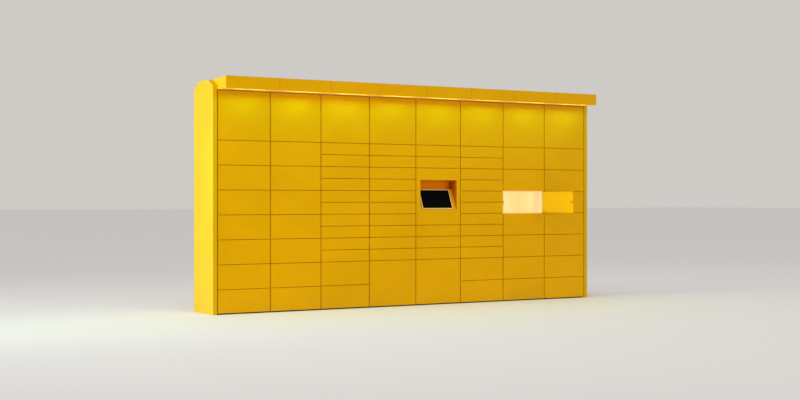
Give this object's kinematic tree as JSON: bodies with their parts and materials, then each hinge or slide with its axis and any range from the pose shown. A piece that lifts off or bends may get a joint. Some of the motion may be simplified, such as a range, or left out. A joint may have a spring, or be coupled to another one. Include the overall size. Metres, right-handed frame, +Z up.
{
  "type": "parcel locker",
  "caption": "Free-standing parcel locker: a wide bank of hinged steel doors in three sizes under a lit overhanging canopy, with a recessed touch-screen terminal.",
  "frame": {"origin": "centre of the base on the floor, midway between the end panels and between the door faces and the rear edges", "axes": "+X to the right along the front, doors face -Y, +Z up"},
  "size_m": [4.086, 0.919, 2.053],
  "materials": {
    "yellow_paint": "satin powder coat",
    "interior_paint": "satin powder coat",
    "soffit_paint": "satin powder coat",
    "frame_paint": "matte powder coat",
    "recess_paint": "satin powder coat",
    "zinc_steel": "zinc plated",
    "aluminium_case": "satin",
    "light_diffuser": "opal",
    "black_plastic": "matte",
    "buffer_rubber": "matte",
    "bezel_metal": "satin anodised",
    "screen_glass": "gloss black",
    "grey_enclosure": "textured",
    "grey_plastic": "matte"
  },
  "bodies": {
    "cabinet": {"base_frame": "frame_paint", "bottom_panels": "interior_paint", "back_panels": "yellow_paint", "partition_sheets": "interior_paint", "mullions": "yellow_paint", "front_rails": "yellow_paint", "shelves": "interior_paint", "compartment_tops": "interior_paint", "end_panel_left": "yellow_paint", "end_panel_right": "yellow_paint", "rear_roof_panel": "yellow_paint", "canopy_roof": "yellow_paint", "canopy_fascia": "yellow_paint", "canopy_soffit": "soffit_paint", "canopy_end_caps": "yellow_paint", "canopy_brackets": "zinc_steel", "light_housings": "soffit_paint", "light_diffusers": "light_diffuser", "hinge_plates": "yellow_paint", "lock_bodies": "zinc_steel", "door_buffers": "buffer_rubber", "controller_box": "grey_enclosure", "power_supply": "aluminium_case", "cable_gland": "black_plastic", "cable_duct": "grey_plastic", "wall_brackets": "zinc_steel", "panel_screws": "zinc_steel"},
    "terminal_door": {"terminal_panel": "yellow_paint", "terminal_housing": "recess_paint", "screen_carrier": "yellow_paint", "screen_bezel": "bezel_metal", "screen_glass": "screen_glass", "display_module": "black_plastic"},
    "lock_bolts": {"lock_bolts": "zinc_steel"},
    "door_c1_top": {"door_c1_top": "yellow_paint"},
    "door_c2_top": {"door_c2_top": "yellow_paint"},
    "door_c3_top": {"door_c3_top": "yellow_paint"},
    "door_c4_top": {"door_c4_top": "yellow_paint"},
    "door_c5_top": {"door_c5_top": "yellow_paint"},
    "door_c6_top": {"door_c6_top": "yellow_paint"},
    "door_c7_top": {"door_c7_top": "yellow_paint"},
    "door_c8_top": {"door_c8_top": "yellow_paint"},
    "door_c4_bottom": {"door_c4_bottom": "yellow_paint"},
    "door_c5_bottom": {"door_c5_bottom": "yellow_paint"},
    "door_c7_m1": {"door_c7_m1": "yellow_paint"},
    "door_c7_m2": {"door_c7_m2": "yellow_paint"},
    "door_c7_open": {"door_c7_open": "yellow_paint"},
    "door_c7_m4": {"door_c7_m4": "yellow_paint"},
    "door_c7_m5": {"door_c7_m5": "yellow_paint"},
    "door_c7_m6": {"door_c7_m6": "yellow_paint"},
    "door_c7_m7": {"door_c7_m7": "yellow_paint"},
    "doors_c1": {"doors_c1": "yellow_paint"},
    "doors_c2": {"doors_c2": "yellow_paint"},
    "doors_c3": {"doors_c3": "yellow_paint"},
    "doors_c4": {"doors_c4": "yellow_paint"},
    "doors_c5": {"doors_c5": "yellow_paint"},
    "doors_c6": {"doors_c6": "yellow_paint"},
    "doors_c8": {"doors_c8": "yellow_paint"}
  },
  "joints": [
    {"name": "door_c1_top_hinge", "type": "hinge", "parent": "cabinet", "child": "door_c1_top", "pos_m": [-1.5085, -0.2115, 1.728], "axis": [0, 0, 1], "range_deg": [0, 105]},
    {"name": "door_c2_top_hinge", "type": "hinge", "parent": "cabinet", "child": "door_c2_top", "pos_m": [-1.0085, -0.2115, 1.728], "axis": [0, 0, 1], "range_deg": [0, 105]},
    {"name": "door_c3_top_hinge", "type": "hinge", "parent": "cabinet", "child": "door_c3_top", "pos_m": [-0.5085, -0.2115, 1.728], "axis": [0, 0, 1], "range_deg": [0, 105]},
    {"name": "door_c4_top_hinge", "type": "hinge", "parent": "cabinet", "child": "door_c4_top", "pos_m": [-0.0085, -0.2115, 1.728], "axis": [0, 0, 1], "range_deg": [0, 105]},
    {"name": "door_c5_top_hinge", "type": "hinge", "parent": "cabinet", "child": "door_c5_top", "pos_m": [0.4915, -0.2115, 1.728], "axis": [0, 0, 1], "range_deg": [0, 105]},
    {"name": "door_c6_top_hinge", "type": "hinge", "parent": "cabinet", "child": "door_c6_top", "pos_m": [0.9915, -0.2115, 1.728], "axis": [0, 0, 1], "range_deg": [0, 105]},
    {"name": "door_c7_top_hinge", "type": "hinge", "parent": "cabinet", "child": "door_c7_top", "pos_m": [1.4915, -0.2115, 1.728], "axis": [0, 0, 1], "range_deg": [0, 105]},
    {"name": "door_c8_top_hinge", "type": "hinge", "parent": "cabinet", "child": "door_c8_top", "pos_m": [1.9915, -0.2115, 1.728], "axis": [0, 0, 1], "range_deg": [0, 105]},
    {"name": "door_c4_bottom_hinge", "type": "hinge", "parent": "cabinet", "child": "door_c4_bottom", "pos_m": [-0.0085, -0.2115, 0.216], "axis": [0, 0, 1], "range_deg": [0, 105]},
    {"name": "door_c5_bottom_hinge", "type": "hinge", "parent": "cabinet", "child": "door_c5_bottom", "pos_m": [0.4915, -0.2115, 0.216], "axis": [0, 0, 1], "range_deg": [0, 105]},
    {"name": "door_c7_m1_hinge", "type": "hinge", "parent": "cabinet", "child": "door_c7_m1", "pos_m": [1.4915, -0.2115, 1.404], "axis": [0, 0, 1], "range_deg": [0, 105]},
    {"name": "door_c7_m2_hinge", "type": "hinge", "parent": "cabinet", "child": "door_c7_m2", "pos_m": [1.4915, -0.2115, 1.188], "axis": [0, 0, 1], "range_deg": [0, 105]},
    {"name": "door_c7_open_hinge", "type": "hinge", "parent": "cabinet", "child": "door_c7_open", "pos_m": [1.4915, -0.2115, 0.972], "axis": [0, 0, 1], "range_deg": [-90, 15]},
    {"name": "door_c7_m4_hinge", "type": "hinge", "parent": "cabinet", "child": "door_c7_m4", "pos_m": [1.4915, -0.2115, 0.756], "axis": [0, 0, 1], "range_deg": [0, 105]},
    {"name": "door_c7_m5_hinge", "type": "hinge", "parent": "cabinet", "child": "door_c7_m5", "pos_m": [1.4915, -0.2115, 0.54], "axis": [0, 0, 1], "range_deg": [0, 105]},
    {"name": "door_c7_m6_hinge", "type": "hinge", "parent": "cabinet", "child": "door_c7_m6", "pos_m": [1.4915, -0.2115, 0.324], "axis": [0, 0, 1], "range_deg": [0, 105]},
    {"name": "door_c7_m7_hinge", "type": "hinge", "parent": "cabinet", "child": "door_c7_m7", "pos_m": [1.4915, -0.2115, 0.108], "axis": [0, 0, 1], "range_deg": [0, 105]},
    {"name": "doors_c1_hinge", "type": "hinge", "parent": "cabinet", "child": "doors_c1", "pos_m": [-1.5085, -0.2115, 0.756], "axis": [0, 0, 1], "range_deg": [0, 105]},
    {"name": "doors_c2_hinge", "type": "hinge", "parent": "cabinet", "child": "doors_c2", "pos_m": [-1.0085, -0.2115, 0.756], "axis": [0, 0, 1], "range_deg": [0, 105]},
    {"name": "doors_c3_hinge", "type": "hinge", "parent": "cabinet", "child": "doors_c3", "pos_m": [-0.5085, -0.2115, 0.756], "axis": [0, 0, 1], "range_deg": [0, 105]},
    {"name": "doors_c4_hinge", "type": "hinge", "parent": "cabinet", "child": "doors_c4", "pos_m": [-0.0085, -0.2115, 0.972], "axis": [0, 0, 1], "range_deg": [0, 105]},
    {"name": "doors_c5_hinge", "type": "hinge", "parent": "cabinet", "child": "doors_c5", "pos_m": [0.4915, -0.2115, 0.972], "axis": [0, 0, 1], "range_deg": [0, 105]},
    {"name": "doors_c6_hinge", "type": "hinge", "parent": "cabinet", "child": "doors_c6", "pos_m": [0.9915, -0.2115, 0.756], "axis": [0, 0, 1], "range_deg": [0, 105]},
    {"name": "doors_c8_hinge", "type": "hinge", "parent": "cabinet", "child": "doors_c8", "pos_m": [1.9915, -0.2115, 0.756], "axis": [0, 0, 1], "range_deg": [0, 105]},
    {"name": "terminal_door_hinge", "type": "hinge", "parent": "cabinet", "child": "terminal_door", "pos_m": [0.4915, -0.2115, 1.026], "axis": [0, 0, 1], "range_deg": [0, 100]},
    {"name": "lock_bolts_slide", "type": "slide", "parent": "cabinet", "child": "lock_bolts", "axis": [1, 0, 0], "range_m": [0, 0.008]}
  ]
}
